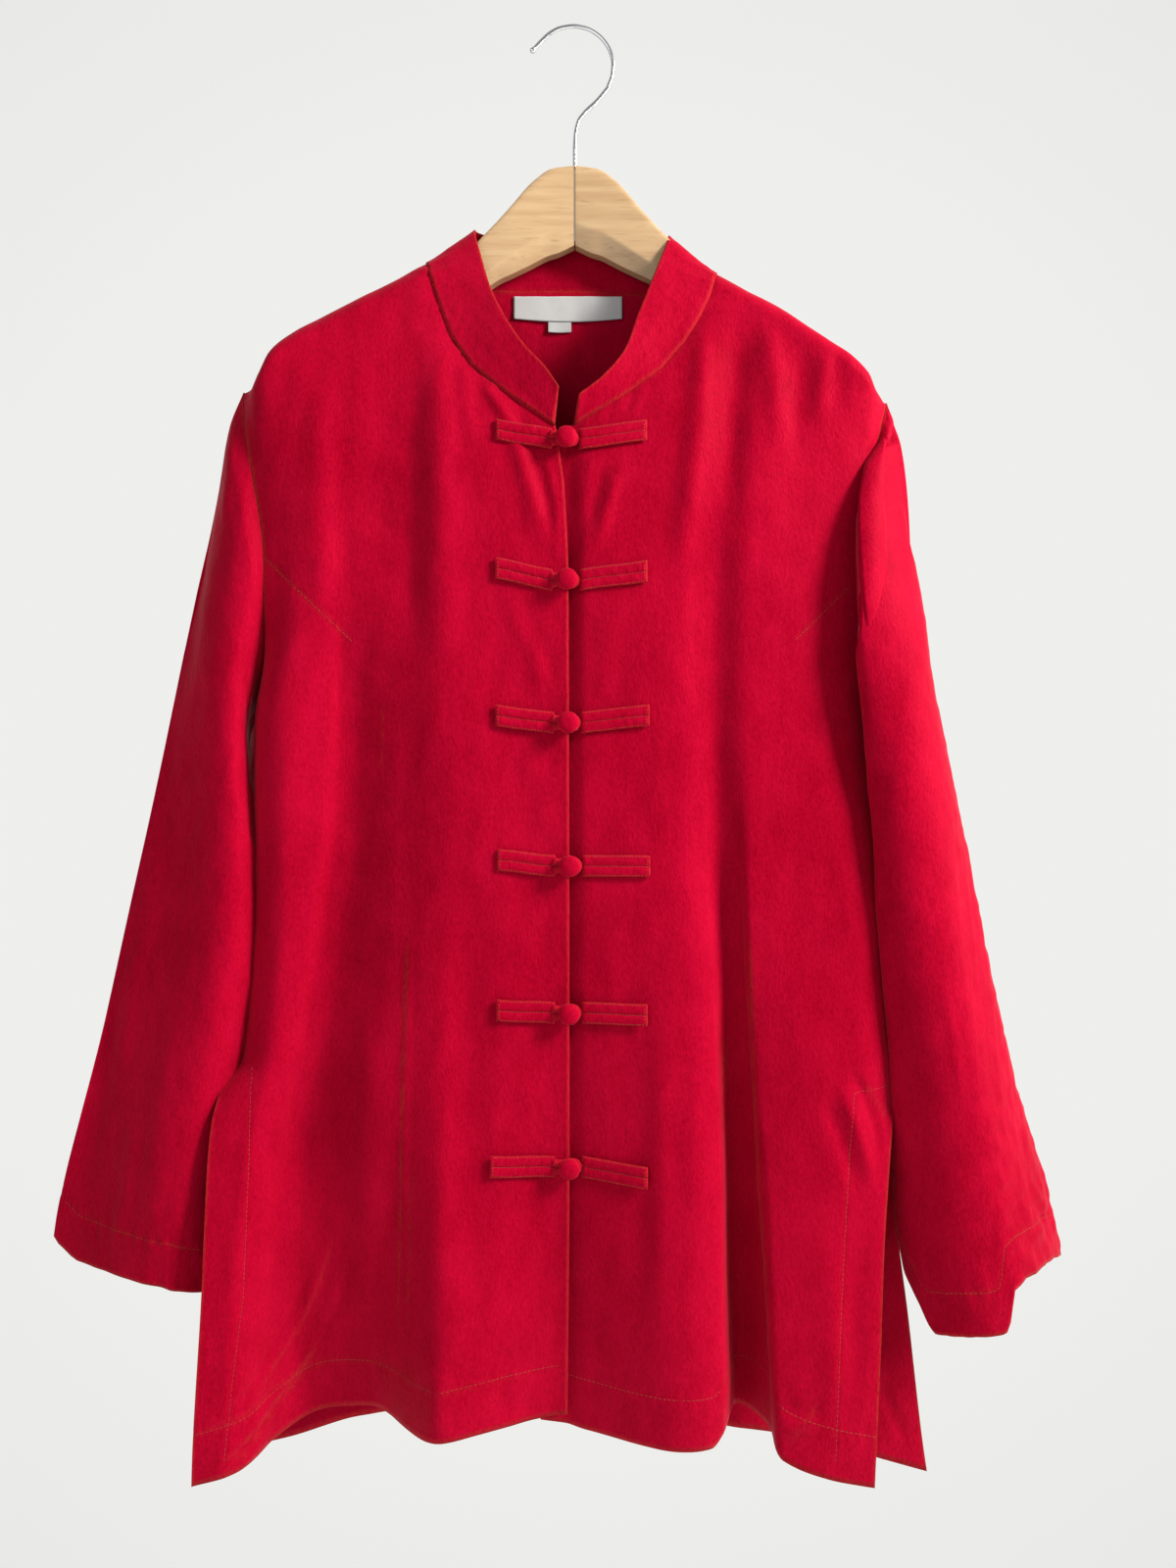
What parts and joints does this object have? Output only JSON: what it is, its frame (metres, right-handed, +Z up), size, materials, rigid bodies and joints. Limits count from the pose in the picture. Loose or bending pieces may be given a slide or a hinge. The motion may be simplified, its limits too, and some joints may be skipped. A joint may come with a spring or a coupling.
{
  "type": "mandarin collar shirt on a wooden hanger",
  "caption": "Long-sleeved silk shirt with a stand collar, frog fastenings down the front and side slits, hanging buttoned on a wooden hanger with a metal hook.",
  "frame": {"origin": "inner top of the hanger's hook, where the hook bears on a rail or peg", "axes": "+Z up, +Y towards the back of the shirt and the wall behind it, +X towards the wearer's left sleeve"},
  "size_m": [0.7363, 0.082, 1.0772],
  "materials": {
    "red_silk": "sand-washed silk with a fine soft nap and a low sheen",
    "red_silk_trim": "the same silk sewn into narrow cords, strips and button covers",
    "ivory_satin": "woven satin ribbon, blank",
    "beech": "smooth wood with a clear satin lacquer",
    "chromed_steel": "bright chrome plate"
  },
  "bodies": {
    "root": {"back": "red_silk", "front_right": "red_silk", "front_left": "red_silk", "sleeve_right": "red_silk", "sleeve_left": "red_silk", "collar": "red_silk", "frog_strip_right_1": "red_silk_trim", "frog_strip_left_1": "red_silk_trim", "frog_loop_1": "red_silk_trim", "button_1": "red_silk_trim", "frog_strip_right_2": "red_silk_trim", "frog_strip_left_2": "red_silk_trim", "frog_loop_2": "red_silk_trim", "button_2": "red_silk_trim", "frog_strip_right_3": "red_silk_trim", "frog_strip_left_3": "red_silk_trim", "frog_loop_3": "red_silk_trim", "button_3": "red_silk_trim", "frog_strip_right_4": "red_silk_trim", "frog_strip_left_4": "red_silk_trim", "frog_loop_4": "red_silk_trim", "button_4": "red_silk_trim", "frog_strip_right_5": "red_silk_trim", "frog_strip_left_5": "red_silk_trim", "frog_loop_5": "red_silk_trim", "button_5": "red_silk_trim", "frog_strip_right_6": "red_silk_trim", "frog_strip_left_6": "red_silk_trim", "frog_loop_6": "red_silk_trim", "button_6": "red_silk_trim", "neck_label": "ivory_satin", "size_tab": "ivory_satin", "hanger_arm_right": "beech", "hanger_arm_left": "beech", "hanger_hook": "chromed_steel"}
  },
  "joints": []
}
